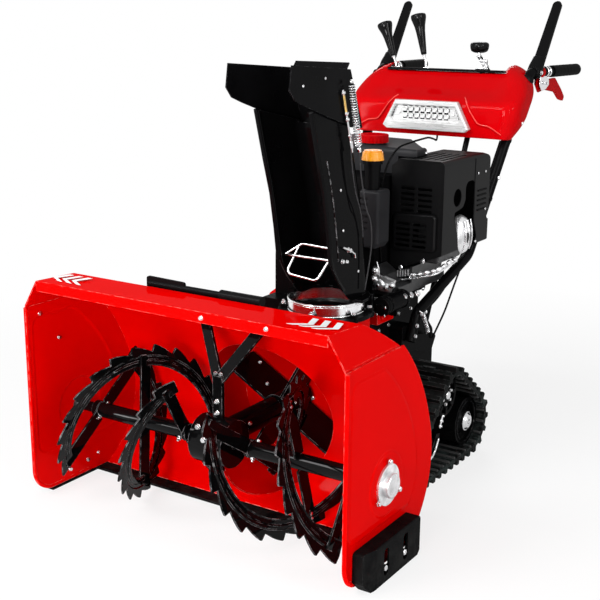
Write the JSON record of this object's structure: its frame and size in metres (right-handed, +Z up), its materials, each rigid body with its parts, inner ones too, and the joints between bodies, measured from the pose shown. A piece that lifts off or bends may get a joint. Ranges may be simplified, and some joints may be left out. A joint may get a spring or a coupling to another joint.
{
  "type": "walk-behind tracked snow blower",
  "caption": "Walk-behind two-stage snow blower on rubber tracks, with a wide toothed auger, turning chute, covered engine, dash with lamp and levers, and two handles.",
  "frame": {"origin": "on the ground, in the middle of the machine's box", "axes": "+Z up, +Y from the auger housing towards the handles, +X to the operator's right"},
  "size_m": [0.9386, 1.6698, 1.1859],
  "materials": {
    "red_paint": "gloss",
    "black_paint": "gloss",
    "satin_black": "satin",
    "bare_steel": "satin",
    "cast_alloy": "satin",
    "track_rubber": "matte",
    "grip_rubber": "matte",
    "black_plastic": "satin",
    "grey_plastic": "satin",
    "red_plastic": "gloss",
    "yellow_plastic": "gloss",
    "lamp_lens": "gloss",
    "knob_chrome": "polished"
  },
  "bodies": {
    "chassis": {"auger_housing": "red_paint", "side_plate_right": "red_paint", "side_plate_left": "red_paint", "scraper_bar": "satin_black", "skid_shoes": "satin_black", "auger_bearings": "cast_alloy", "gearbox": "black_paint", "impeller_housing": "red_paint", "chute_flange": "black_plastic", "track_right": "track_rubber", "track_left": "track_rubber", "front_idlers": "satin_black", "rear_idlers": "satin_black", "drive_sprockets": "satin_black", "drive_axle": "bare_steel", "idler_axles": "bare_steel", "track_frames": "satin_black", "tub": "satin_black", "belt_cover": "satin_black", "engine_bed": "satin_black", "engine_block": "cast_alloy", "muffler_cover": "black_plastic", "fuel_tank": "grey_plastic", "fuel_cap": "red_plastic", "oil_neck": "black_plastic", "oil_cap": "yellow_plastic", "filler_base": "grey_plastic", "recoil_starter": "black_plastic", "handlebar_right": "satin_black", "handlebar_left": "satin_black", "grips": "grip_rubber", "dash_panel": "red_plastic", "headlamp": "lamp_lens", "clutch_paddles": "black_plastic", "control_plate": "black_plastic", "shift_levers": "black_plastic", "joystick": "knob_chrome", "trigger_levers": "red_plastic", "shift_rod": "satin_black", "gearbox_bracket": "black_paint", "hitch_lugs": "red_paint", "crankcase": "cast_alloy", "air_box": "black_plastic", "hub_caps": "bare_steel", "chute_drive": "satin_black", "clean_out_tool": "black_plastic", "side_flaps": "satin_black", "control_cables": "black_plastic"},
    "impeller": {"impeller": "black_paint"},
    "auger": {"auger_shaft": "satin_black", "auger_right": "black_paint", "auger_left": "black_paint"},
    "chute": {"chute": "black_paint", "chute_ring": "bare_steel", "chute_guard": "bare_steel", "deflector_spring": "bare_steel"},
    "deflector": {"deflector": "black_paint"}
  },
  "joints": [
    {"name": "impeller_spin", "type": "hinge", "parent": "chassis", "child": "impeller", "pos_m": [0, -0.36, 0.205], "axis": [0, -1, 0], "continuous": true},
    {"name": "auger_spin", "type": "hinge", "parent": "chassis", "child": "auger", "pos_m": [0, -0.6475, 0.195], "axis": [1, 0, 0], "continuous": true},
    {"name": "chute_turn", "type": "hinge", "parent": "chassis", "child": "chute", "pos_m": [0.11, -0.3645, 0.47], "axis": [0, 0, 1], "range_deg": [-100, 100]},
    {"name": "deflector_tilt", "type": "hinge", "parent": "chute", "child": "deflector", "pos_m": [0.11, -0.3845, 0.905], "axis": [1, 0, 0], "range_deg": [0, 48]}
  ],
  "couplings": [
    {"joint": "auger_spin", "follows": "impeller_spin", "ratio": 0.1}
  ]
}
